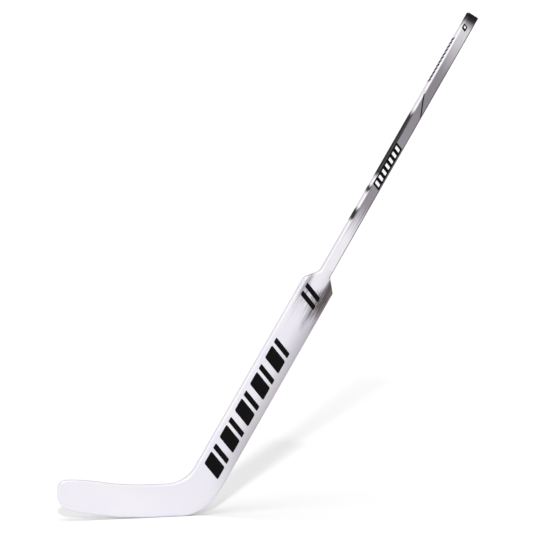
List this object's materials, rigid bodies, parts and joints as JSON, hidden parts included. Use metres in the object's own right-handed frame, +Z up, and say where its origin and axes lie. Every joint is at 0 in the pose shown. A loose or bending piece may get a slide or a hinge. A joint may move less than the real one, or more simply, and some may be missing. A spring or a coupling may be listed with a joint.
{
  "type": "ice hockey goaltender stick",
  "caption": "Goaltender's ice hockey stick: hollow rectangular shaft, wide foam-core paddle with sloping shoulders, wide curved blade and a pull-out butt plug.",
  "frame": {"origin": "middle of the flat of the blade's sole, in the middle of the stick's thickness", "axes": "+Z up, +X along the blade from toe to heel, -Y out of the backhand face; the shaft leans towards +X at its lie angle"},
  "size_m": [1.0984, 0.0298, 1.264],
  "materials": {
    "painted_laminate": "white enamel over glass and carbon laminate, satin gloss",
    "painted_tube": "painted carbon laminate with a white to grey fade",
    "black_rubber": "moulded, matt",
    "laminated_wood": "laminated birch, bare",
    "core_foam": "rigid foam",
    "toe_plastic": "moulded",
    "black_print": "black transfer film under lacquer"
  },
  "bodies": {
    "stick": {"shaft_tube": "painted_tube", "backhand_skin": "painted_laminate", "forehand_skin": "painted_laminate", "core_spar": "laminated_wood", "paddle_rail_upper": "laminated_wood", "paddle_rail_lower": "laminated_wood", "paddle_core_upper": "core_foam", "paddle_core_lower": "core_foam", "shoulder_block_upper": "laminated_wood", "shoulder_block_lower": "laminated_wood", "heel_block": "laminated_wood", "blade_core_heel": "core_foam", "blade_core_toe": "core_foam", "blade_rib": "laminated_wood", "blade_sole_rail": "laminated_wood", "blade_top_rail": "laminated_wood", "toe_block": "toe_plastic", "paddle_bars_backhand": "black_print", "paddle_bars_forehand": "black_print", "shoulder_mark_backhand": "black_print", "shoulder_mark_forehand": "black_print", "shaft_panel_backhand": "black_print", "shaft_panel_forehand": "black_print"},
    "plug": {"butt_plug": "black_rubber"}
  },
  "joints": [
    {"name": "plug_pull", "type": "slide", "parent": "stick", "child": "plug", "axis": [0.5165, 0, 0.8563], "range_m": [0, 0.05]}
  ]
}
